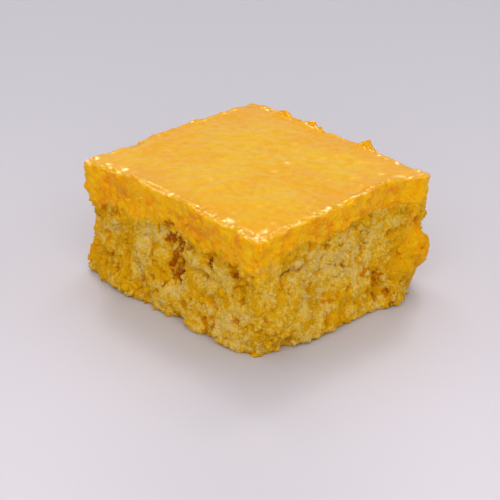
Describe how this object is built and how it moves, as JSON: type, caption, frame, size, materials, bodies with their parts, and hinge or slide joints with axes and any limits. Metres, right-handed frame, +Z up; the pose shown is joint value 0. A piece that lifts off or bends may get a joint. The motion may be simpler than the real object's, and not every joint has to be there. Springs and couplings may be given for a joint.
{
  "type": "honey cornbread",
  "caption": "Square serving of crumbly cornbread, torn at its sides, with a layer of honey set on its top and run over its edges.",
  "frame": {"origin": "middle of the box around the serving, on the flat base that it rests on", "axes": "+Z up, +X along the serving's longer side, -Y out of the face that the picture shows on the left"},
  "size_m": [0.0846, 0.077, 0.041],
  "materials": {
    "crumb": null,
    "honey": null
  },
  "bodies": {
    "root": {"cornbread": "crumb", "honey_glaze": "honey"}
  },
  "joints": []
}
